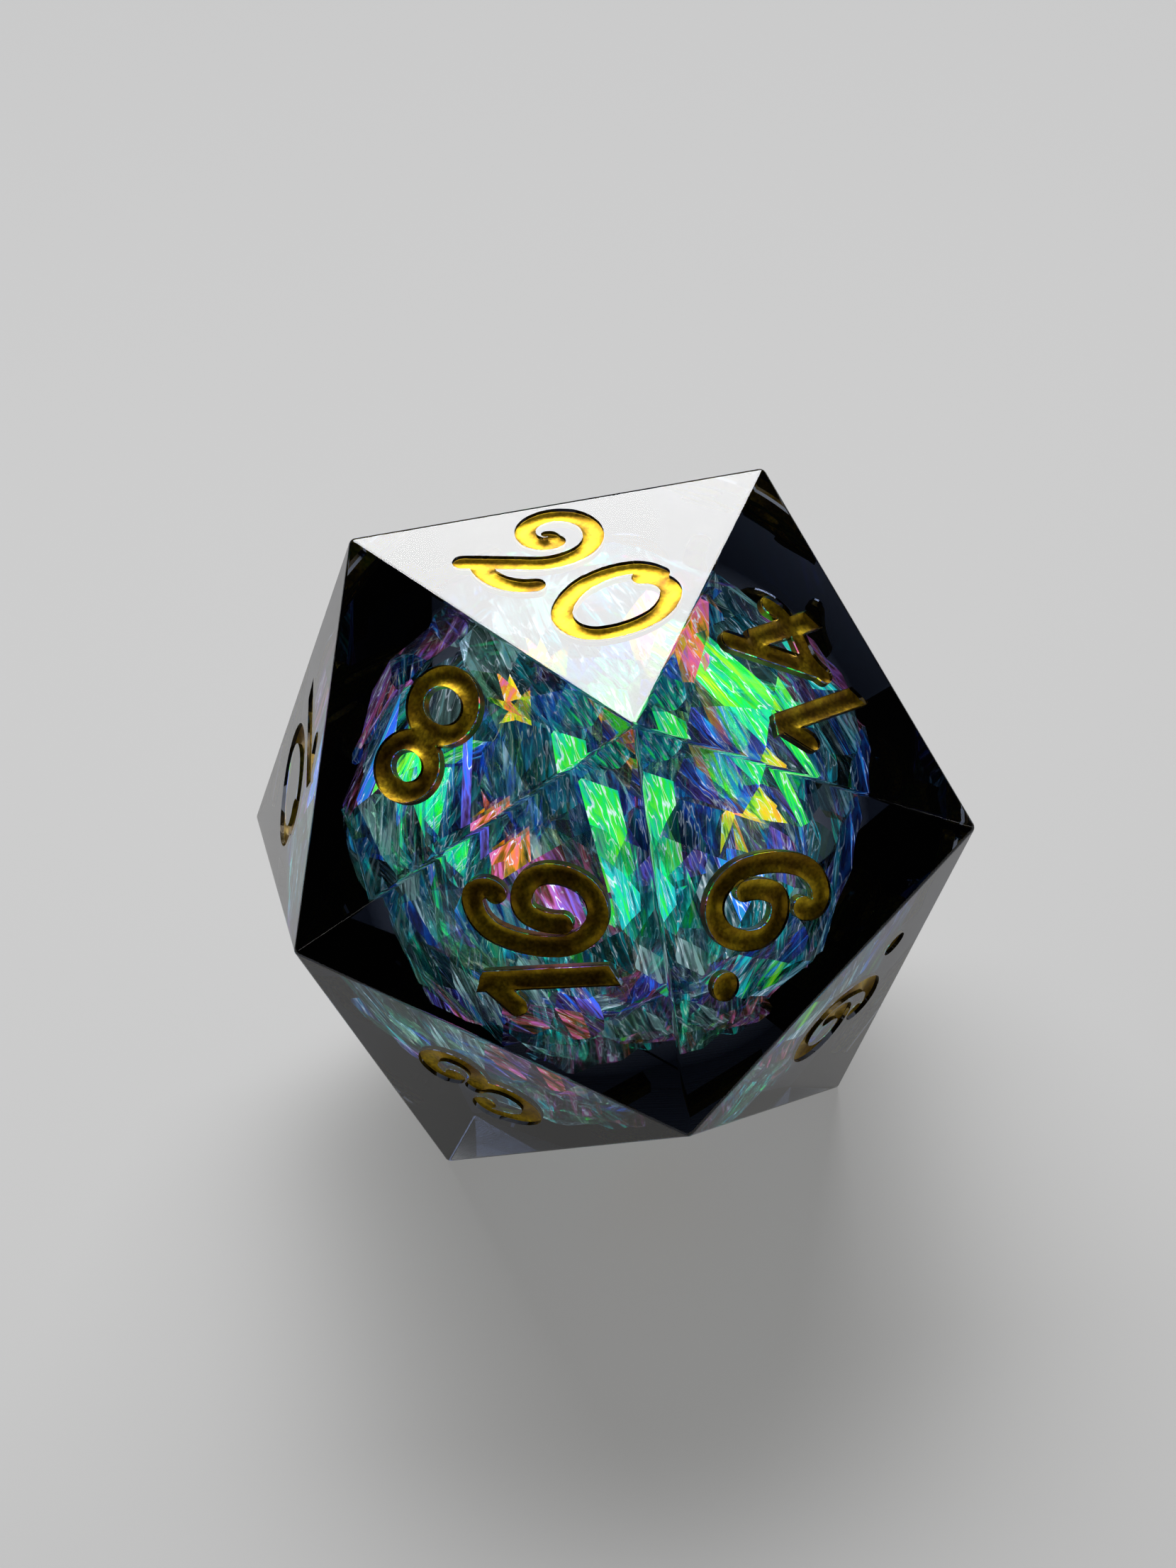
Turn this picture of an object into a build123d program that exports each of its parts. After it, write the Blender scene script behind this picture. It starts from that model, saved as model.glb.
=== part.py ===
from build123d import *
import os
from math import cos, radians, sin, sqrt

os.makedirs("parts", exist_ok=True)

# A twenty-sided die: a tinted resin shell cast round a clear ball that holds crumpled film,
# with an ink-filled numeral engraved in each face. It rests on the face of the 1, with the 20
# on top. The origin is the middle of the bottom face, +Z is up, and sizes are in millimetres.

# ---- driving dimensions ----
across_flats = 20.0      # from a face to the opposite face
edge_radius = 0.22       # polished rounding of the thirty edges
core_radius = 7.0        # clear ball inside the tinted shell
numeral_height = 4.5
stroke_width = 0.66      # width of the engraving cutter
tail_width = 0.3         # the finer cutter of the 2's inner curl
numeral_drop = 0.1       # the numeral's middle, below the middle of the face
digit_gap = 0.35         # between the two digits of a numeral
dot_radius = 0.46        # the dot that tells 6 and 9 apart
engraving_depth = 0.5
ink_recess = 0.12        # the ink's surface, below the face
film_thickness = 0.06
film_rise = 0.4          # how far a flake's creases stand out of its plane
film_clearance = 0.3     # least clear resin round a flake
face_creases = 4         # in each flake below a face
corner_creases = 3       # in each flake below a corner
middle_creases = 3       # in each flake round the middle
crease_unevenness = 0.3  # how much lower the creases may stand, as a share of film_rise
flake_turn = 47          # degrees by which each flake of a layer is turned from the last
least_sides = 4          # flakes have this many sides, or one or two more

# ---- the icosahedron ----
golden = (1 + sqrt(5)) / 2
face_height = across_flats / 2
edge_length = face_height * 2 * sqrt(3) / golden**2
face_ring = edge_length / sqrt(3)          # circle through the corners of the top face
belt_ring = face_ring * golden             # circle through the corners between top and bottom
belt_height = face_height / golden**3
centre = Vector(0, 0, face_height)


def ring(radius, height, first_angle):
    """Three corners, a third of a turn apart, about the vertical axis of the die."""
    angles = [radians(first_angle + 120 * step) for step in range(3)]
    return [Vector(radius * cos(angle), radius * sin(angle), height) for angle in angles]


# corners relative to the middle of the die: 0-2 top face, 3-5 upper belt, then the lower
# belt 6-8 and the bottom face 9-11
corners = ring(face_ring, face_height, 0) + ring(belt_ring, belt_height, 60)
corners += ring(belt_ring, -belt_height, 0) + ring(face_ring, -face_height, 60)

# the numeral and the corners of its face; the numeral's top points at the first corner.
# Opposite faces add up to 21, and the opposite face is the same face turned inside out.
face_corners = {
    20: (0, 1, 2),
    8: (4, 1, 2),
    14: (2, 0, 5),
    16: (4, 2, 8),
    6: (5, 2, 8),
    3: (4, 8, 10),
    10: (4, 1, 7),
    9: (8, 5, 11),
    2: (1, 0, 3),
    4: (5, 0, 6),
}


def outward_plane(direction, up):
    """Plane square to direction, at its end, with its Y axis towards up."""
    normal = direction.normalized()
    return Plane(origin=centre + direction, x_dir=up.cross(normal), z_dir=normal)


face_planes = {}
for number, (top, second, third) in face_corners.items():
    middle = (corners[top] + corners[second] + corners[third]) * (1 / 3)
    face_planes[number] = outward_plane(middle, corners[top] - middle)
    face_planes[21 - number] = outward_plane(middle * -1, middle - corners[top])

# ---- numerals ----
# Digits are drawn as pen strokes about their own middle, on a grid that is nine units high,
# and every stroke is a run of smooth arcs.
unit = numeral_height / 9


def stroke(start, heading, bends, pen=stroke_width):
    """One pen stroke with round ends, from start in the direction heading (degrees).
    Each bend is (radius, turn in degrees, clockwise negative); (length, 0) is straight."""
    here = Vector(*start) * unit
    way = Vector(cos(radians(heading)), sin(radians(heading)))
    ends = [here]
    with BuildLine() as path:
        for size, turn in bends:
            if turn == 0:
                piece = Line(here, here + way * size * unit)
            else:
                piece = JernArc(start=here, tangent=way, radius=size * unit, arc_size=turn)
            here = piece @ 1
            way = piece % 1
    ends.append(here)
    trace(path.line, line_width=pen)
    with Locations(*ends):
        Circle(pen / 2)


def bar(middle, bottom, top):
    """An upright stroke whose two ends are cut on the slant."""
    side = stroke_width / 2
    slant = 0.6 * unit
    Polygon(
        (middle * unit - side, bottom * unit),
        (middle * unit + side, bottom * unit + slant),
        (middle * unit + side, top * unit - slant),
        (middle * unit - side, top * unit),
        align=None,
    )


def draw_0():
    stroke((-0.6, 2.5), 50, [(1.8, -50), (1.4, -45), (3.4, -45), (5.6, -35), (2.2, -110), (5.0, -35)])
    stroke((-2.7, 0.0), 90, [(4.6, -35), (2.0, -45), (0.4, 0)])


def draw_1():
    bar(0, -4.5, 4.5)
    stroke((-1.7, 2.1), 42, [(2.2, 0)])


def draw_2():
    stroke((-0.75, 1.35), 60, [(0.53, -140)], pen=tail_width)
    stroke((0.24, 1.24), -100, [(1.2, -80), (1.4, -90), (2.28, -180), (3.8, -48), (4.4, 0)])
    stroke((-1.5, -3.5), -30, [(3.2, 85)])


def draw_3():
    stroke((-0.5, 1.5), -135, [(0.75, -135), (1.7, -180), (1.9, -70), (0.7, 0)])
    stroke((-0.2, 0.0), 10, [(2.1, -100), (1.8, -90), (2.6, -35), (0.8, 0), (0.74, -160)])


def draw_4():
    stroke((1.2, 3.9), -121, [(6.6, 0)])
    stroke((-2.7, -2.2), 35, [(2.4, -45), (1.0, 0), (2.6, 60)])
    bar(0.85, -4.5, 2.6)


def draw_5():
    stroke((-1.4, 3.5), -8, [(5.0, 30), (0.6, 0)])
    stroke((-1.4, 3.5), -97, [(3.0, 0)])
    stroke((-1.77, 0.52), 40, [(2.2, -130), (2.8, -60), (1.8, -60), (0.72, -150)])


def draw_6():
    stroke((-0.84, -1.4), 90, [(3.2, -35), (1.1, -55), (1.76, -90), (3.2, -40), (2.2, -50), (2.0, -50)])
    stroke((-1.57, -3.0), 130, [(3.1, -40), (7.2, -30), (2.6, -60), (0.8, -150)])


def draw_7():
    stroke((-2.1, 2.7), 60, [(1.0, -70), (5.2, 28), (0.7, 0)])
    stroke((2.1, 3.65), -122, [(24.0, 19)])


def draw_8():
    side = stroke_width / 2
    loops = [(2.2, 1.9, 1.6), (-2.05, 2.2, 1.8)]
    for height, half_width, half_height in loops:
        with Locations((0, height * unit)):
            Ellipse(half_width * unit + side, half_height * unit + side)
    for height, half_width, half_height in loops:
        with Locations((0, height * unit)):
            Ellipse(half_width * unit - side, half_height * unit - side, mode=Mode.SUBTRACT)


def draw_9():
    add(digits["6"], rotation=180)


draw = [draw_0, draw_1, draw_2, draw_3, draw_4, draw_5, draw_6, draw_7, draw_8, draw_9]
digits = {}
for value, draw_digit in enumerate(draw):
    with BuildSketch() as digit:
        draw_digit()
    digits[str(value)] = digit.sketch


def numeral_sketch(number, plane):
    """The whole numeral on a face, centred across it."""
    marks = [digits[letter] for letter in str(number)]
    if number in (6, 9):
        with BuildSketch() as dot:
            with Locations((0, dot_radius - numeral_height / 2)):
                Circle(dot_radius)
        marks.append(dot.sketch)
    widths = [mark.bounding_box().size.X for mark in marks]
    left = -sum(widths[:2]) / 2 - digit_gap / 2 if number > 9 else -widths[0] / 2
    with BuildSketch(plane) as numeral:
        for mark, width in zip(marks, widths):
            box = mark.bounding_box()
            with Locations((left - box.min.X, -numeral_drop)):
                add(mark)
            left += width + digit_gap
    return numeral.sketch


with BuildPart() as shell:
    block = 3 * face_height
    with Locations(centre):
        Box(block, block, block)
    for plane in face_planes.values():
        split(bisect_by=plane, keep=Keep.BOTTOM)
    fillet(shell.edges(), radius=edge_radius)
    for number, plane in face_planes.items():
        add(numeral_sketch(number, plane))
        extrude(amount=engraving_depth, dir=plane.z_dir * -1, mode=Mode.SUBTRACT)
    with Locations(centre):
        Sphere(core_radius, mode=Mode.SUBTRACT)
shell.part.label = "shell"
export_step(shell.part, "parts/shell.step")

# ---- ink in the engraving, its surface a little below the face ----
for number, plane in face_planes.items():
    floor_plane = plane.offset(-engraving_depth)
    with BuildPart() as ink:
        add(numeral_sketch(number, floor_plane))
        extrude(amount=engraving_depth - ink_recess, dir=plane.z_dir)
    ink.part.label = f"numeral_{number:02d}"
    export_step(ink.part, f"parts/{ink.part.label}.step")

# ---- crumpled film ----
# Each flake is a creased sheet, square to a direction from the middle of the die. The three
# layers keep to their own distances from the middle, and the flakes of a layer keep within a
# cone about their own direction, so that no two flakes meet.


def crumpled_sheet(plane, reach, side_count, creases):
    """A sheet with side_count corners at reach from the plane's origin, creased along Y."""
    with BuildPart() as sheet:
        with BuildSketch(Plane(plane.origin, x_dir=plane.x_dir, z_dir=plane.y_dir)):
            with BuildLine():
                points = []
                for step in range(creases + 2):
                    share = 2 * step / (creases + 1) - 1
                    lower = crease_unevenness * (1 - cos(3 * step + side_count))
                    points.append((share * reach, film_rise * (1 - lower) * (-1) ** step))
                Polyline(*points)
            trace(line_width=film_thickness)
        extrude(amount=reach, both=True)
        with BuildSketch(plane):
            RegularPolygon(reach, side_count)
        extrude(amount=film_rise + film_thickness, both=True, mode=Mode.INTERSECT)
    return sheet.part


def film_layer(name, directions, half_angle, outer_radius, creases):
    """One flake for each direction, inside outer_radius and within half_angle degrees of its
    direction. Returns the flakes and the radius that they leave free."""
    standing = film_rise + film_thickness
    reach = (outer_radius - 2 * standing) * sin(radians(half_angle))
    distance = sqrt(outer_radius**2 - reach**2) - standing
    flakes = []
    for count, direction in enumerate(directions, start=1):
        spun = direction.cross(askew).rotate(Axis((0, 0, 0), direction), flake_turn * count)
        plane = outward_plane(direction * distance, spun)
        flake = crumpled_sheet(plane, reach, least_sides + count % 3, creases)
        flake.label = f"film_{name}_{count:02d}"
        export_step(flake, f"parts/{flake.label}.step")
        flakes.append(flake)
    return flakes, distance - standing - film_clearance


askew = Vector(1, 2, 3)   # parallel to none of the directions
face_directions = [face_planes[number].z_dir for number in range(1, 21)]
corner_directions = [corner.normalized() for corner in corners]
middle_directions = [face_planes[number].z_dir for number in (20, 15, 11, 3)]

# half of the angle between neighbouring directions in each layer
face_half_angle = 20.9
corner_half_angle = 31.7
middle_half_angle = 54.7

free_radius = core_radius - film_clearance
film, free_radius = film_layer(
    "face", face_directions, face_half_angle, free_radius, face_creases
)
corner_film, free_radius = film_layer(
    "corner", corner_directions, corner_half_angle, free_radius, corner_creases
)
middle_film, _ = film_layer(
    "middle", middle_directions, middle_half_angle, free_radius, middle_creases
)
film += corner_film + middle_film

with BuildPart() as core:
    with Locations(centre):
        Sphere(core_radius)
    for flake in film:
        add(flake, mode=Mode.SUBTRACT)
core.part.label = "core"
export_step(core.part, "parts/core.step")
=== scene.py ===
import math
import random

import bmesh
import bpy
import numpy as np
from mathutils import Matrix, Vector
from mathutils.geometry import delaunay_2d_cdt


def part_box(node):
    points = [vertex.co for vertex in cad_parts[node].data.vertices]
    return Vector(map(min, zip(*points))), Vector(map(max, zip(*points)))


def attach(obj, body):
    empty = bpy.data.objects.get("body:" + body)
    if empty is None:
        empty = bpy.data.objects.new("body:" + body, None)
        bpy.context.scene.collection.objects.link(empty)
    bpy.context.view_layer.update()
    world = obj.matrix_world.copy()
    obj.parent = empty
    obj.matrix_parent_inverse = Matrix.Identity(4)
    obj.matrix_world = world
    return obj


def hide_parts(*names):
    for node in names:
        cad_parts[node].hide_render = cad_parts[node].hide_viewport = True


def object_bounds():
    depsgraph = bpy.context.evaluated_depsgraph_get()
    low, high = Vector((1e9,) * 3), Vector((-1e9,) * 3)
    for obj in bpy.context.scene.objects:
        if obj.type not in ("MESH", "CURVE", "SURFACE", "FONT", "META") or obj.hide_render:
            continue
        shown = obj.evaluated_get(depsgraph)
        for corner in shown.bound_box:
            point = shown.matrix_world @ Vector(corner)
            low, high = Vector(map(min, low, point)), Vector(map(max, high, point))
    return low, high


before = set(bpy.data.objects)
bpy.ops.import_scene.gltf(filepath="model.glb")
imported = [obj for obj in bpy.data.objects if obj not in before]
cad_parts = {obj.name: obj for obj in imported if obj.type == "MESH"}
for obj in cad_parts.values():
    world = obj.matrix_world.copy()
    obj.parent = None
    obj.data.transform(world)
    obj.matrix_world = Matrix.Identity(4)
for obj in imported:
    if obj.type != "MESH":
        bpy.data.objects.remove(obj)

# A twenty-sided die of dark see-through resin round a clear ball full of crumpled film, with
# gold ink in its engraved numerals. Everything is in metres, in the row's frame.

cad_low, cad_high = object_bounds()
MM = 0.001
centre = (cad_low + cad_high) / 2
face_height = (cad_high.z - cad_low.z) / 2
core_low, core_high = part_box("core")
core_radius = (core_high.z - core_low.z) / 2

# ---- camera, from the middle of the die ----
CAMERA_FROM_CENTRE = Vector((-61.93, -77.12, 83.85)) * MM
AIM_FROM_CENTRE = Vector((0.224, 0.848, 0.966)) * MM
CAMERA_ROLL = math.radians(-4.71)
CAMERA_LENS = 92.45      # on the 36 mm long side of the picture

# ---- floor and light ----
FLOOR_RADIUS = 0.9
FLOOR_EDGE = 0.032       # from the die to the table's edge on the camera's side
FLOOR_COLOUR = (0.145, 0.147, 0.152, 1)
FLOOR_GLOW = 0.24        # the table is lit from below too
WINDOW_BRIGHTNESS = 12.5
OVERHEAD_BRIGHTNESS = 0.2
STRIP_BRIGHTNESS = 1.3
FILL_BRIGHTNESS = 0.016
PALE_SKY = (0.5, 0.51, 0.53, 1)

# ---- resin ----
RESIN_IOR = 1.5
RESIN_COLOUR = (0.67, 0.69, 0.73, 1)     # what the tint leaves of white light
RESIN_DENSITY = 950.0                    # per metre
CORE_WALL_SLACK = 0.1 * MM               # a surface this near the core is the hollow's wall

# ---- film ----
BRIGHTEST_PAINTED_GLOW = 0.62    # the most painted glow a fold gives, in the same measure as the painted glints' brightness
CREASE_PAINTED_HIGHLIGHT = 0.16      # painted highlight: extra glow added with pale colour along the sharpest creases
FILM_PAINTED_GLOW = 5.5          # painted light: the film glows, standing in for the light that the folds scatter from all round
FILM_COLOURS = [
    (0.00, (0.01, 0.14, 0.18)),
    (0.10, (0.01, 0.34, 0.36)),
    (0.20, (0.02, 0.66, 0.58)),
    (0.28, (0.02, 0.90, 0.06)),
    (0.35, (0.25, 0.85, 0.02)),
    (0.41, (0.95, 0.72, 0.02)),
    (0.47, (0.95, 0.24, 0.03)),
    (0.53, (0.75, 0.15, 0.34)),
    (0.60, (0.26, 0.12, 0.55)),
    (0.67, (0.03, 0.15, 0.88)),
    (0.75, (0.02, 0.32, 0.42)),
    (0.84, (0.34, 0.46, 0.46)),
    (0.92, (0.22, 0.40, 0.34)),
    (1.00, (0.01, 0.14, 0.18)),
]
CYAN, GREEN, YELLOW, ORANGE, PINK, BLUE = 0.20, 0.28, 0.41, 0.47, 0.53, 0.67
QUIET_HUES = (
    (0.98, 0.03, 0.08, 0.12, 0.17, 0.2)       # teal and cyan
    + (0.52, 0.57, 0.6, 0.64, 0.68)           # pink, violet and blue
    + (0.74, 0.8, 0.84, 0.87, 0.9)            # dull blue-green and grey
)

# Painted glints, folds given a bright hue and painted glow as if they caught the light: where,
# width in degrees, hue and brightness. One number is the middle of its face, two are the edge
# between their faces, and five are the corner they share.
PAINTED_GLINTS = (
    ((20, 8, 16, 6, 14), 8, GREEN, 6.0),
    ((20, 14), 7, ORANGE, 4.0),
    ((20, 8), 6, YELLOW, 3.5),
    ((14, 6), 6, YELLOW, 4.0),
    ((8, 10), 10, GREEN, 6.0),
    ((16, 6), 7, CYAN, 3.0),
    ((8, 16), 5, ORANGE, 1.5),
    ((14,), 16, GREEN, 6.0),
    ((8,), 5, BLUE, 2.5),
    ((16,), 6, PINK, 1.0),
    ((6,), 6, BLUE, 2.5),
    ((4,), 12, CYAN, 4.5),
    ((2,), 12, GREEN, 6.0),
    ((10,), 9, BLUE, 5.0),
)

# ---- ink, in millimetres ----
INK_LAP = 0.012          # the ink reaches this far into the resin, so that no gap shows
INK_EDGE_DEPTH = 0.13    # below the face, at the wall of the groove
INK_MIDDLE_DEPTH = 0.22  # and along the middle of the stroke
INK_HALF_STROKE = 0.33
INK_GRID = 0.12          # between the points of the ink's surface
GRID_ROW = 0.87          # between its rows, as a share of that
GRID_CLEARANCE = 0.4     # from the outline to the first point, as a share of that
TOP_TOLERANCE = 0.01     # how far the ink's top may be out of flat
SHARP_INK = math.radians(50)
ENGRAVING_DEPTH = 0.5
INK_AXIS = Vector((0.3, 0.8, 0.5))       # no face points this way, so it gives each an X axis


# ---- the icosahedron's faces ----
def unit_corners():
    """The twelve corners as directions from the middle of the die."""
    golden = (1 + math.sqrt(5)) / 2
    ring = math.sqrt(1 / 3) * math.sqrt(12) / golden**2
    rings = ((ring, 1, 0), (ring * golden, golden**-3, 60))
    corners = []
    for radius, height, first in rings:
        for step in range(3):
            angle = math.radians(first + 120 * step)
            corners.append(Vector((radius * math.cos(angle), radius * math.sin(angle), height)))
    return [c.normalized() for c in corners] + [-c.normalized() for c in corners]


def unit_faces(corners):
    """The twenty faces' outward directions."""
    edge = min((corners[0] - c).length for c in corners[1:])
    faces = []
    for i, a in enumerate(corners):
        for j in range(i + 1, len(corners)):
            for k in range(j + 1, len(corners)):
                b, c = corners[j], corners[k]
                if max((a - b).length, (b - c).length, (c - a).length) < 1.1 * edge:
                    faces.append((a + b + c).normalized())
    return faces


corner_directions = unit_corners()
face_directions = unit_faces(corner_directions)


def basis(direction, along):
    """Rotation whose Z axis is direction and whose X axis leans towards along."""
    z = direction.normalized()
    x = (along - along.dot(z) * z).normalized()
    y = z.cross(x)
    return Matrix((x, y, z)).transposed()


def way_to(node):
    """The direction from the middle of the die to the middle of a CAD node."""
    low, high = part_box(node)
    return ((low + high) / 2 - centre).normalized()


def add_piece(node, name, mesh):
    """A piece that stands in for a CAD node."""
    piece = bpy.data.objects.new(name, mesh)
    bpy.context.scene.collection.objects.link(piece)
    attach(piece, "root")
    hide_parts(node)


# ---- node helpers ----
class Nodes:
    """Short calls for building one material's nodes."""

    def __init__(self, name):
        self.material = bpy.data.materials.new(name)
        self.material.use_nodes = True
        self.tree = self.material.node_tree
        self.tree.nodes.clear()
        self.out = self.tree.nodes.new("ShaderNodeOutputMaterial")

    def add(self, kind, inputs=None, **settings):
        node = self.tree.nodes.new(kind)
        for key, value in settings.items():
            setattr(node, key, value)
        for key, value in (inputs or {}).items():
            self.put(node.inputs[key], value)
        return node

    def put(self, socket, value):
        if isinstance(value, bpy.types.NodeSocket):
            self.tree.links.new(value, socket)
        else:
            socket.default_value = value

    def math(self, operation, *values):
        node = self.add("ShaderNodeMath", operation=operation)
        for socket, value in zip(node.inputs, values):
            self.put(socket, value)
        return node.outputs[0]

    def ramp(self, factor, stops, interpolation="LINEAR"):
        node = self.add("ShaderNodeValToRGB", {"Fac": factor})
        ramp = node.color_ramp
        ramp.interpolation = interpolation
        while len(ramp.elements) < len(stops):
            ramp.elements.new(0.5)
        for element, (position, colour) in zip(ramp.elements, stops):
            element.position = position
            element.color = (*colour, 1) if len(colour) == 3 else colour
        return node.outputs["Color"]

    def mix(self, factor, a, b, blend="MIX"):
        node = self.add("ShaderNodeMix", data_type="RGBA", blend_type=blend)
        for socket, value in ((node.inputs[0], factor), (node.inputs[6], a), (node.inputs[7], b)):
            self.put(socket, value)
        return node.outputs[2]


def shell_material():
    """Polished dark resin: glass outside, and no surface at all where it meets the core."""
    n = Nodes("dark_resin")
    here = n.add("ShaderNodeTexCoord").outputs["Object"]
    from_centre = n.add("ShaderNodeVectorMath", operation="DISTANCE")
    n.put(from_centre.inputs[0], here)
    n.put(from_centre.inputs[1], centre)
    is_core_wall = n.math("LESS_THAN", from_centre.outputs["Value"], core_radius + CORE_WALL_SLACK)
    ripple = n.add("ShaderNodeTexNoise", {"Vector": here, "Scale": 700.0, "Detail": 3.0})
    bump = n.add(
        "ShaderNodeBump",
        {"Strength": 0.01, "Distance": 0.02 * MM, "Height": ripple.outputs["Fac"]},
    )
    resin = n.add(
        "ShaderNodeBsdfPrincipled",
        {
            "Base Color": (1, 1, 1, 1),
            "Roughness": 0.0,
            "IOR": RESIN_IOR,
            "Transmission Weight": 1.0,
            "Normal": bump.outputs["Normal"],
        },
    )
    clear = n.add("ShaderNodeBsdfTransparent")
    surface = n.add(
        "ShaderNodeMixShader", {0: is_core_wall, 1: resin.outputs[0], 2: clear.outputs[0]}
    )
    tint = n.add("ShaderNodeVolumeAbsorption", {"Color": RESIN_COLOUR, "Density": RESIN_DENSITY})
    n.put(n.out.inputs["Surface"], surface.outputs[0])
    n.put(n.out.inputs["Volume"], tint.outputs[0])
    return n.material


def core_material():
    """Clear resin inside resin of the same kind, so nothing shows where they meet."""
    n = Nodes("clear_resin")
    clear = n.add("ShaderNodeBsdfTransparent", {"Color": (1, 1, 1, 1)})
    n.put(n.out.inputs["Surface"], clear.outputs[0])
    return n.material


def ink_material():
    """Metallic gold paint, settled unevenly in the groove."""
    n = Nodes("gold_ink")
    here = n.add("ShaderNodeTexCoord").outputs["Object"]
    pools = n.add(
        "ShaderNodeTexNoise", {"Vector": here, "Scale": 900.0, "Detail": 4.0, "Roughness": 0.6}
    )
    flecks = n.add("ShaderNodeTexNoise", {"Vector": here, "Scale": 9000.0, "Detail": 2.0})
    gold = n.ramp(
        pools.outputs["Fac"],
        [(0.3, (0.15, 0.07, 0.004)), (0.5, (0.38, 0.225, 0.008)), (0.72, (0.74, 0.52, 0.02))],
    )
    fleck = n.ramp(flecks.outputs["Fac"], [(0.35, (0.7, 0.7, 0.7)), (0.65, (1.15, 1.15, 1.1))])
    colour = n.mix(1.0, gold, fleck, "MULTIPLY")
    rough = n.math("MULTIPLY_ADD", flecks.outputs["Fac"], 0.25, 0.25)
    height = n.math("MULTIPLY_ADD", flecks.outputs["Fac"], 0.25, pools.outputs["Fac"])
    bump = n.add("ShaderNodeBump", {"Strength": 0.5, "Distance": 0.03 * MM, "Height": height})
    paint = n.add(
        "ShaderNodeBsdfPrincipled",
        {"Base Color": colour, "Metallic": 0.93, "Roughness": rough, "Normal": bump.outputs["Normal"]},
    )
    n.put(n.out.inputs["Surface"], paint.outputs[0])
    return n.material


def film_material():
    """Iridescent film. Every fold has its own hue, painted glow and thickness of colour, and fine
    streaks run along it. It mirrors one colour, lets another through and glows as painted light."""
    n = Nodes("iridescent_film")
    fold = n.add("ShaderNodeAttribute", attribute_name="fold").outputs["Vector"]
    fold_hue, fold_painted_glow, fold_cover = n.add("ShaderNodeSeparateXYZ", {0: fold}).outputs
    sheet = n.add("ShaderNodeUVMap", uv_map="sheet").outputs["UV"]
    broad = n.add("ShaderNodeMapping", {"Vector": sheet, "Scale": (0.3, 1.5, 1)})
    streaks = n.add(
        "ShaderNodeTexNoise",
        {"Vector": broad.outputs[0], "Scale": 1.0, "Detail": 3.0, "Roughness": 0.6, "Distortion": 0.3},
    ).outputs["Fac"]
    fine = n.add("ShaderNodeMapping", {"Vector": sheet, "Scale": (0.5, 3.3, 1)})
    threads = n.add(
        "ShaderNodeTexNoise", {"Vector": fine.outputs[0], "Scale": 1.0, "Detail": 3.0, "Distortion": 0.8}
    ).outputs["Fac"]
    hue = n.math("MULTIPLY_ADD", streaks, 0.35, fold_hue)
    hue = n.math("MULTIPLY_ADD", threads, 0.25, hue)
    hue = n.math("FRACT", n.math("ADD", hue, 0.7))
    mirrored = n.ramp(hue, FILM_COLOURS)
    passed = n.ramp(n.math("FRACT", n.math("ADD", hue, 0.4)), FILM_COLOURS)
    passed = n.mix(0.6, passed, (0.8, 0.84, 0.84, 1))
    # painted light: the streaks make each fold's painted glow brighter and darker
    contrast = n.ramp(
        threads,
        [(0.34, (0.08, 0.08, 0.08)), (0.5, (0.45, 0.45, 0.45)), (0.58, (1, 1, 1)), (0.68, (2.2, 2.2, 2.2))],
    )
    broad_contrast = n.ramp(
        streaks,
        [(0.36, (0.12, 0.12, 0.12)), (0.5, (0.8, 0.8, 0.8)), (0.64, (1.7, 1.7, 1.7))],
    )
    light = n.math("MULTIPLY", n.math("MULTIPLY", contrast, broad_contrast), fold_painted_glow)
    light = n.math("MINIMUM", light, BRIGHTEST_PAINTED_GLOW)
    # painted highlight: thin pale lines with extra glow where the broad streaks cross their middle, as
    # creases that catch the light
    off_crease = n.math("ABSOLUTE", n.math("SUBTRACT", streaks, 0.5))
    crease_highlight = n.ramp(off_crease, [(0.0, (1, 1, 1)), (0.014, (0, 0, 0))])
    mirrored = n.mix(crease_highlight, mirrored, (0.75, 0.82, 0.80, 1))
    light = n.math("MULTIPLY_ADD", crease_highlight, CREASE_PAINTED_HIGHLIGHT, light)
    bump = n.add("ShaderNodeBump", {"Strength": 0.5, "Distance": 0.1 * MM, "Height": streaks})
    # the emission is painted light: the film glows in its mirrored colour though it is no lamp
    film = n.add(
        "ShaderNodeBsdfPrincipled",
        {
            "Base Color": mirrored,
            "Metallic": 0.9,
            "Roughness": 0.18,
            "Normal": bump.outputs["Normal"],
            "Emission Color": mirrored,
            "Emission Strength": n.math("MULTIPLY", light, FILM_PAINTED_GLOW),
        },
    )
    clear = n.add("ShaderNodeBsdfTransparent", {"Color": passed})
    shown = n.math("MULTIPLY_ADD", n.math("SUBTRACT", threads, 0.5), 1.6, fold_cover)
    shown = n.math("MINIMUM", n.math("MAXIMUM", shown, 0.05), 0.97)
    surface = n.add("ShaderNodeMixShader", {0: shown, 1: clear.outputs[0], 2: film.outputs[0]})
    n.put(n.out.inputs["Surface"], surface.outputs[0])
    return n.material


# ---- ink ----
def top_loops(node, to_face):
    """The outlines of the ink's top surface, as loops of (x, y) in millimetres in the face's
    own plane, with the ink on the left of each loop."""
    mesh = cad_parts[node].data
    flat = [to_face @ v.co for v in mesh.vertices]
    top = max(p.z for p in flat)
    key = [(round(p.x / MM, 4), round(p.y / MM, 4)) for p in flat]
    directed = {}
    for polygon in mesh.polygons:
        if all(flat[i].z > top - TOP_TOLERANCE * MM for i in polygon.vertices):
            ring = [key[i] for i in polygon.vertices]
            for a, b in zip(ring, ring[1:] + ring[:1]):
                if (b, a) in directed:
                    del directed[(b, a)]
                else:
                    directed[(a, b)] = True
    after = dict(directed.keys())
    loops = []
    while after:
        start, here = after.popitem()
        loop = [start]
        while here != start:
            loop.append(here)
            here = after.pop(here)
        loops.append(np.array(loop))
    return loops


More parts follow.
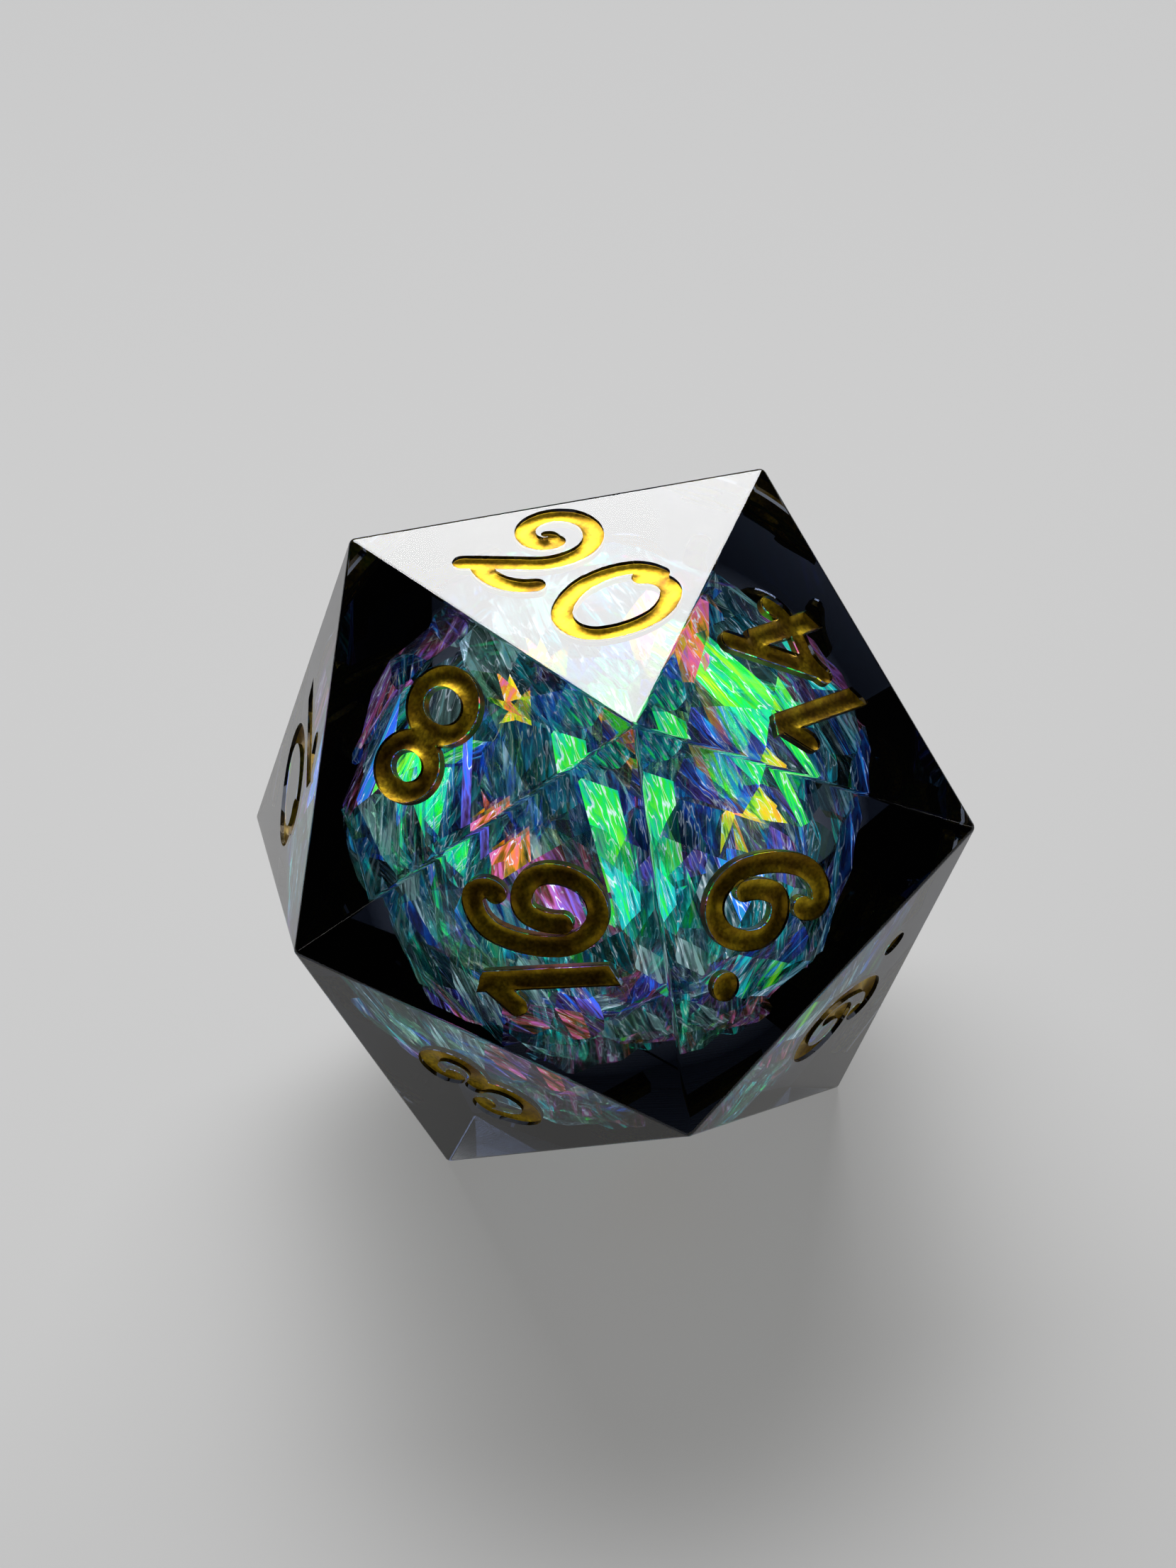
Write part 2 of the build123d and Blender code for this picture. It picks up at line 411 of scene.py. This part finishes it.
def widened(loop, lap):
    """The loop moved outwards from the ink by lap."""
    before, after = np.roll(loop, 1, 0), np.roll(loop, -1, 0)
    way = after - before
    way /= np.linalg.norm(way, axis=1)[:, None]
    return loop + lap * np.stack((way[:, 1], -way[:, 0]), 1)


def edge_distance(points, loops):
    """Each point's distance from the nearest outline, and whether it is inside the ink."""
    nearest = np.full(len(points), 1e9)
    inside = np.zeros(len(points), bool)
    for loop in loops:
        a, b = loop, np.roll(loop, -1, 0)
        way = b - a
        for start, run, end in zip(a, way, b):
            share = ((points - start) @ run / (run @ run)).clip(0, 1)
            gap = np.linalg.norm(points - start - share[:, None] * run, axis=1)
            nearest = np.minimum(nearest, gap)
            crosses = (start[1] > points[:, 1]) != (end[1] > points[:, 1])
            with np.errstate(divide="ignore", invalid="ignore"):
                at = start[0] + (points[:, 1] - start[1]) * run[0] / run[1]
            inside ^= crosses & (points[:, 0] < at)
    return nearest, inside


def ink_piece(node, material):
    """The ink as it dries in its groove: high along the walls and low along the middle."""
    normal = max(face_directions, key=way_to(node).dot)
    axes = basis(normal, INK_AXIS)
    face = Matrix.Translation(centre + normal * face_height) @ axes.to_4x4()
    loops = [widened(loop, INK_LAP) for loop in top_loops(node, face.inverted())]
    corners = np.concatenate(loops)
    xs = np.arange(corners[:, 0].min(), corners[:, 0].max(), INK_GRID)
    ys = np.arange(corners[:, 1].min(), corners[:, 1].max(), INK_GRID * GRID_ROW)
    grid = np.array([(x + (row % 2) * INK_GRID / 2, y) for row, y in enumerate(ys) for x in xs])
    depth, inside = edge_distance(grid, loops)
    points = np.concatenate((corners, grid[inside & (depth > GRID_CLEARANCE * INK_GRID)]))
    edges, first = [], 0
    for loop in loops:
        edges += [(first + i, first + (i + 1) % len(loop)) for i in range(len(loop))]
        first += len(loop)
    flat, _, triangles, *_ = delaunay_2d_cdt([Vector(p) for p in points], edges, [], 0, 1e-5)
    flat = np.array([tuple(p) for p in flat])
    middles = np.array([flat[list(t)].mean(0) for t in triangles])
    _, kept = edge_distance(middles, loops)
    triangles = [tuple(t) for t, keep in zip(triangles, kept) if keep]
    from_wall, _ = edge_distance(flat, loops)
    share = (from_wall / INK_HALF_STROKE).clip(0, 1)
    drop = INK_EDGE_DEPTH + (INK_MIDDLE_DEPTH - INK_EDGE_DEPTH) * (1 - (1 - share) ** 2)
    count = len(flat)
    top = [face @ (Vector((x, y, -z)) * MM) for (x, y), z in zip(flat, drop)]
    floor = ENGRAVING_DEPTH + INK_LAP
    bottom = [face @ (Vector((x, y, -floor)) * MM) for x, y in flat]
    sides = {}
    for a, b, c in triangles:
        for edge in ((a, b), (b, c), (c, a)):
            if edge[::-1] in sides:
                del sides[edge[::-1]]
            else:
                sides[edge] = True
    faces = list(triangles) + [(c + count, b + count, a + count) for a, b, c in triangles]
    faces += [(b, a, a + count, b + count) for a, b in sides]
    mesh = bpy.data.meshes.new(node + "_ink")
    mesh.from_pydata(top + bottom, [], faces)
    mesh.validate()
    mesh.shade_smooth()
    mesh.set_sharp_from_angle(angle=SHARP_INK)
    mesh.materials.append(material)
    add_piece(node, node + "_ink", mesh)


# ---- film ----
STREAK_AXIS = Vector((-0.1, -0.35, -0.93))   # the film was pushed in along this line
FILM_LAYERS = {
    # name: (reach, radius, top), in millimetres
    "face": (4.0, 6.4, 6.93),
    "corner": (4.0, 5.1, 5.8),
    "middle": (3.8, 2.9, 4.2),
}
# each family of creases: its turn from the streak axis in radians (least, most), the distance
# between creases and how far they stand out, in millimetres
CREASES = (((0.6, 1.2), 3.0, 0.36), ((-1.2, -0.6), 2.6, 0.32), ((-0.2, 0.2), 0.8, 0.12))
CREASE_GAPS = (0.5, 1.5)         # between neighbouring creases, in spacings
CREASE_HEIGHTS = (0.3, 1.0)      # as a share of the family's height
CREASE_REACH = 1.2               # in reaches, so that creases cross the whole sheet
RAGGED_CORNERS = 13              # round a sheet's outline
RAGGED_REACH = (0.8, 1.0)        # from its middle to each of them, in reaches

# a sheet keeps to a cone of its own between its neighbours, in radians
SAME_WAY = 0.05                  # directions less than this apart are the same
WIDEST_CONE = 0.9                # half angle, where a sheet has no neighbours
RIVAL_RANGE = 2.2                # a neighbour within this many half angles is kept clear of
CONE_GAP = 0.02                  # between cones, as a difference of cosines
CONE_PUSH = 0.9                  # how strongly a point outside its cone is drawn back

# every facet between the two broad families, then every strip of it, draws its own looks; its light is the
# strength of its painted glow
FACET_TURN = 0.35                # of its streaks, in radians either way
FACET_PAINTED_GLOWS = (0.05, 0.14, 0.24, 0.36, 0.6)
FACET_COVERS = (0.15, 0.3, 0.5, 0.75)
STRIP_HUE = 0.06                 # either way from its facet's
STRIP_PAINTED_GLOWS = (0.25, 0.5, 0.8, 1.0, 1.4, 2.2)   # times its facet's
STRIP_COVER = 0.2                # either way from its facet's
PAINTED_GLINT_HUE = 0.03                 # either way from the glint's
PAINTED_GLINT_GLOWS = (0.35, 0.8, 1.0, 1.0)             # times the glint's brightness
PAINTED_GLINT_COVER = (0.6, 1.0)
STREAK_SHIFT = 50                # the streaks' most shift, in millimetres
SHARP_FOLD = math.radians(8)


def crease_family(chance, turns, spacing, rise, reach):
    """Parallel creases across a sheet: the way across them, their places and heights."""
    turn = chance.uniform(*turns)
    places, heights, at, side = [], [], -reach * CREASE_REACH, 1
    while at < reach * CREASE_REACH + spacing:
        places.append(at)
        heights.append(side * chance.uniform(*CREASE_HEIGHTS) * rise)
        at += spacing * chance.uniform(*CREASE_GAPS)
        side = -side
    return Vector((-math.sin(turn), math.cos(turn), 0)), places, heights


def below(numbers):
    """The direction of the face, edge or corner that these numbers' faces share."""
    total = Vector()
    for number in numbers:
        total += way_to(f"film_face_{number:02d}")
    return total.normalized()


painted_glint_ways = [below(numbers) for numbers, *_ in PAINTED_GLINTS]


def painted_glint_at(way):
    """The hue and brightness of the painted glint in this direction, or None."""
    for towards, (_, width, hue, brightness) in zip(painted_glint_ways, PAINTED_GLINTS):
        if way.angle(towards) < math.radians(width):
            return hue, brightness
    return None


def film_piece(node, material, chance):
    """A crumpled sheet about its CAD flake's place: flat facets between straight creases."""
    layer = node.split("_")[1]
    reach, radius, top = FILM_LAYERS[layer]
    direction = way_to(node)
    axes = basis(direction, STREAK_AXIS)
    neighbours = {"face": face_directions, "corner": corner_directions, "middle": []}[layer]
    cone = sorted(direction.angle(other) for other in neighbours)
    half_angle = cone[1] / 2 if cone and cone[0] < SAME_WAY else WIDEST_CONE
    farthest = RIVAL_RANGE * half_angle
    rivals = [other for other in neighbours if SAME_WAY < direction.angle(other) < farthest]
    families = [crease_family(chance, *family, reach) for family in CREASES]

    def placed(flat):
        """The sheet's point on its ball, drawn in so that it stays in its own cone."""
        way = (direction * radius + axes @ Vector((flat.x, flat.y, 0))).normalized()
        for other in rivals:
            over = way.dot(other) - way.dot(direction)
            if over > -CONE_GAP:
                way = (way + (direction - other) * (over + CONE_GAP) * CONE_PUSH).normalized()
        height = sum(
            float(np.interp(flat.dot(across), places, heights))
            for across, places, heights in families
        )
        return centre + way * min(radius + height, top) * MM

    sheet = bmesh.new()
    ragged = []
    for step in range(RAGGED_CORNERS):
        angle = 2 * math.pi * step / RAGGED_CORNERS
        share = chance.uniform(*RAGGED_REACH)
        x, y = reach * share * math.cos(angle), reach * share * math.sin(angle)
        ragged.append(sheet.verts.new((x, y, 0)))
    sheet.faces.new(ragged)
    for across, places, heights in families:
        for place in places:
            whole = sheet.verts[:] + sheet.edges[:] + sheet.faces[:]
            bmesh.ops.bisect_plane(sheet, geom=whole, plane_co=across * place, plane_no=across)
    fold = sheet.faces.layers.float_vector.new("fold")
    uv = sheet.loops.layers.uv.new("sheet")
    facets = {}
    for face in sheet.faces:
        middle = face.calc_center_median()
        key = tuple(
            int(np.searchsorted(places, middle.dot(across))) for across, places, _ in families[:2]
        )
        if key not in facets:
            facets[key] = (
                chance.choice(QUIET_HUES),
                chance.uniform(-FACET_TURN, FACET_TURN),
                chance.choice(FACET_PAINTED_GLOWS),
                chance.choice(FACET_COVERS),
            )
        # light here is the strength of the fold's painted glow
        hue, turn, light, cover = facets[key]
        hue += chance.uniform(-STRIP_HUE, STRIP_HUE)
        light *= chance.choice(STRIP_PAINTED_GLOWS)
        cover += chance.uniform(-STRIP_COVER, STRIP_COVER)
        # painted glint: a fold in a glint's direction takes the glint's hue and a bright painted glow
        glint = painted_glint_at((placed(middle) - centre).normalized()) if layer != "middle" else None
        if glint:
            hue = glint[0] + chance.uniform(-PAINTED_GLINT_HUE, PAINTED_GLINT_HUE)
            light = glint[1] * chance.choice(PAINTED_GLINT_GLOWS)
            cover = chance.uniform(*PAINTED_GLINT_COVER)
        face[fold] = (hue, light, cover)
        shift = (chance.uniform(0, STREAK_SHIFT), chance.uniform(0, STREAK_SHIFT))
        for loop in face.loops:
            x, y = loop.vert.co.x, loop.vert.co.y
            loop[uv].uv = (
                x * math.cos(turn) + y * math.sin(turn) + shift[0],
                y * math.cos(turn) - x * math.sin(turn) + shift[1],
            )
    for vertex in sheet.verts:
        vertex.co = placed(vertex.co)
    bmesh.ops.triangulate(sheet, faces=sheet.faces[:])
    mesh = bpy.data.meshes.new(node + "_sheet")
    sheet.to_mesh(mesh)
    sheet.free()
    mesh.materials.append(material)
    mesh.shade_smooth()
    mesh.set_sharp_from_angle(angle=SHARP_FOLD)
    add_piece(node, node + "_sheet", mesh)


# ---- stage ----
def make_camera():
    camera = bpy.data.objects.new("camera", bpy.data.cameras.new("camera"))
    camera.location = centre + CAMERA_FROM_CENTRE
    look = (centre + AIM_FROM_CENTRE - camera.location).to_track_quat("-Z", "Y")
    camera.matrix_world = (
        Matrix.Translation(camera.location)
        @ look.to_matrix().to_4x4()
        @ Matrix.Rotation(CAMERA_ROLL, 4, "Z")
    )
    camera.data.lens = CAMERA_LENS
    camera.data.clip_start = 0.01
    camera.data.clip_end = 10
    bpy.context.scene.collection.objects.link(camera)
    bpy.context.scene.camera = camera


def make_light(name, azimuth, elevation, distance, width, height, brightness):
    """A soft rectangular light that faces the die, brightness in watts per square metre
    and steradian."""
    light = bpy.data.lights.new(name, "AREA")
    light.shape = "RECTANGLE"
    light.size, light.size_y = width, height
    light.energy = brightness * math.pi * width * height
    lamp = bpy.data.objects.new(name, light)
    level = math.cos(math.radians(elevation))
    way = Vector(
        (
            math.cos(math.radians(azimuth)) * level,
            math.sin(math.radians(azimuth)) * level,
            math.sin(math.radians(elevation)),
        )
    )
    lamp.location = centre + way * distance
    lamp.rotation_euler = (-way).to_track_quat("-Z", "Y").to_euler()
    lamp.visible_camera = False
    bpy.context.scene.collection.objects.link(lamp)


def make_floor():
    """A pale round table that is lit from above and below. The die stands near its edge."""
    n = Nodes("floor")
    paint = n.add(
        "ShaderNodeBsdfPrincipled",
        {
            "Base Color": FLOOR_COLOUR,
            "Roughness": 0.5,
            "Emission Color": (1.0, 0.99, 0.97, 1),
            "Emission Strength": FLOOR_GLOW,
        },
    )
    n.put(n.out.inputs["Surface"], paint.outputs[0])
    sides = 96
    away = Vector((-CAMERA_FROM_CENTRE.x, -CAMERA_FROM_CENTRE.y, 0)).normalized()
    middle = Vector((centre.x, centre.y, cad_low.z)) + away * (FLOOR_RADIUS - FLOOR_EDGE)
    ring = []
    for step in range(sides):
        angle = 2 * math.pi * step / sides
        ring.append(middle + Vector((math.cos(angle), math.sin(angle), 0)) * FLOOR_RADIUS)
    mesh = bpy.data.meshes.new("floor")
    mesh.from_pydata(ring, [], [tuple(range(sides))])
    mesh.materials.append(n.material)
    floor = bpy.data.objects.new("floor", mesh)
    bpy.context.scene.collection.objects.link(floor)


def make_world():
    """A dim room, which the camera sees as a pale backdrop."""
    world = bpy.data.worlds.new("room")
    world.use_nodes = True
    tree = world.node_tree
    tree.nodes.clear()
    out = tree.nodes.new("ShaderNodeOutputWorld")
    dim = tree.nodes.new("ShaderNodeBackground")
    dim.inputs["Color"].default_value = PALE_SKY
    dim.inputs["Strength"].default_value = FILL_BRIGHTNESS
    pale = tree.nodes.new("ShaderNodeBackground")
    pale.inputs["Color"].default_value = PALE_SKY
    rays = tree.nodes.new("ShaderNodeLightPath")
    mix = tree.nodes.new("ShaderNodeMixShader")
    tree.links.new(rays.outputs["Is Camera Ray"], mix.inputs[0])
    tree.links.new(dim.outputs[0], mix.inputs[1])
    tree.links.new(pale.outputs[0], mix.inputs[2])
    tree.links.new(mix.outputs[0], out.inputs["Surface"])
    bpy.context.scene.world = world


LIGHTS = (
    # name, azimuth and elevation in degrees, distance, width and height in metres, brightness
    ("window", 55, 45, 0.42, 0.44, 0.17, WINDOW_BRIGHTNESS),
    ("overhead", 0, 88, 0.45, 0.6, 0.6, OVERHEAD_BRIGHTNESS),
    ("left_strip", 174, 15, 0.5, 0.2, 0.06, STRIP_BRIGHTNESS),
    ("right_strip", -40, 8, 0.5, 0.2, 0.06, STRIP_BRIGHTNESS),
    ("front_strip", -113, 6, 0.5, 0.14, 0.1, STRIP_BRIGHTNESS),
)

make_camera()
make_floor()
make_world()
for light in LIGHTS:
    make_light(*light)

scene = bpy.context.scene
scene.view_settings.view_transform = "Standard"
scene.cycles.max_bounces = 20
scene.cycles.glossy_bounces = 8
scene.cycles.transmission_bounces = 16
scene.cycles.transparent_max_bounces = 64


def dress(node, material):
    """Give a CAD node this material and leave its mesh as it is."""
    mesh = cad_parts[node].data
    mesh.materials.clear()
    mesh.materials.append(material)


dress("shell", shell_material())
dress("core", core_material())

ink = ink_material()
film = film_material()
chance = random.Random(20)
for name in sorted(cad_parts):
    if name.startswith("numeral"):
        ink_piece(name, ink)
    if name.startswith("film"):
        film_piece(name, film, chance)
